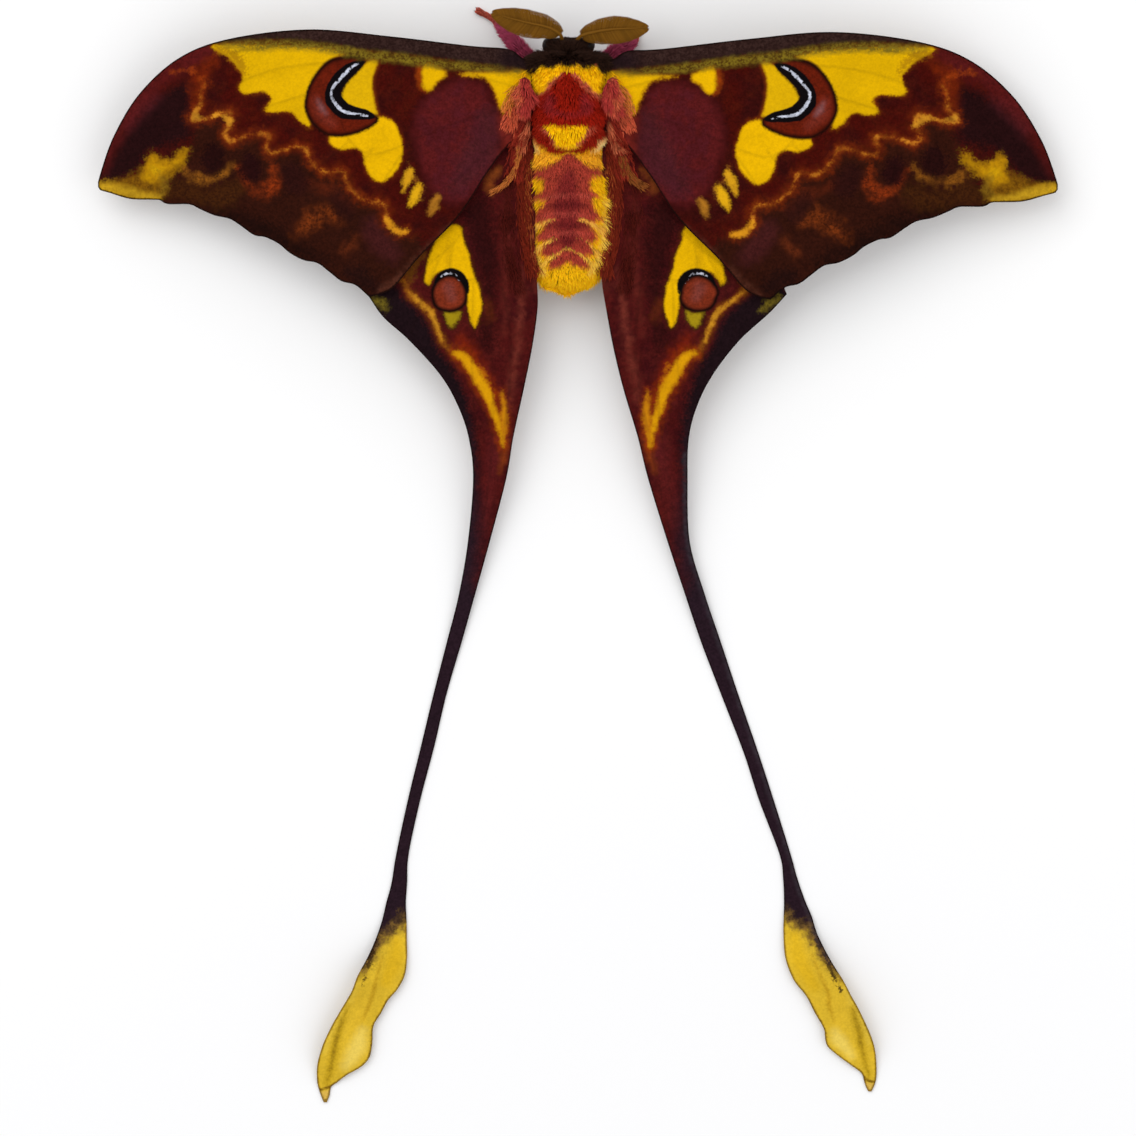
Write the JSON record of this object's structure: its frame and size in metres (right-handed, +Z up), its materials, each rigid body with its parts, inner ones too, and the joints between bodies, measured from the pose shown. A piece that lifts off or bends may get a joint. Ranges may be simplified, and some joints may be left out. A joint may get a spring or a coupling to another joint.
{
  "type": "moon moth",
  "caption": "Large moth with wings spread flat, feathered feelers, furry body and long trailing tails that end in twisted blades.",
  "frame": {"origin": "centre of the bounding box on the floor plane that the feet and tails rest on", "axes": "+Y from the tails to the head, +Z up from the floor, +X to the moth's right"},
  "size_m": [0.1497, 0.1716, 0.0165],
  "materials": {
    "collar_fur": "black-brown fur",
    "thorax_fur": "crimson fur",
    "tegula_fur": "pink-red long fur",
    "abdomen_fur": "maroon and yellow fur",
    "forewing_scales": "maroon wing scales with yellow fields",
    "hindwing_scales": "dark maroon wing scales",
    "tail_scales": "purple-black wing scales",
    "tail_tip_scales": "yellow wing scales",
    "feeler_brown": "matt olive brown",
    "leg_magenta": "short magenta hair",
    "eye_black": "glossy black"
  },
  "bodies": {
    "root": {"head": "collar_fur", "collar": "collar_fur", "thorax": "thorax_fur", "abdomen": "abdomen_fur", "eye_left": "eye_black", "antenna_left": "feeler_brown", "tegula_left": "tegula_fur", "forewing_left": "forewing_scales", "hindwing_left": "hindwing_scales", "tail_upper_left": "tail_scales", "tail_lower_left": "tail_scales", "tail_tip_left": "tail_tip_scales", "foreleg_femur_left": "leg_magenta", "foreleg_tibia_left": "leg_magenta", "foreleg_tarsus_left": "leg_magenta", "midleg_femur_left": "leg_magenta", "midleg_tibia_left": "leg_magenta", "midleg_tarsus_left": "leg_magenta", "hindleg_femur_left": "leg_magenta", "hindleg_tibia_left": "leg_magenta", "hindleg_tarsus_left": "leg_magenta", "eye_right": "eye_black", "antenna_right": "feeler_brown", "tegula_right": "tegula_fur", "forewing_right": "forewing_scales", "hindwing_right": "hindwing_scales", "tail_upper_right": "tail_scales", "tail_lower_right": "tail_scales", "tail_tip_right": "tail_tip_scales", "foreleg_femur_right": "leg_magenta", "foreleg_tibia_right": "leg_magenta", "foreleg_tarsus_right": "leg_magenta", "midleg_femur_right": "leg_magenta", "midleg_tibia_right": "leg_magenta", "midleg_tarsus_right": "leg_magenta", "hindleg_femur_right": "leg_magenta", "hindleg_tibia_right": "leg_magenta", "hindleg_tarsus_right": "leg_magenta"}
  },
  "joints": []
}
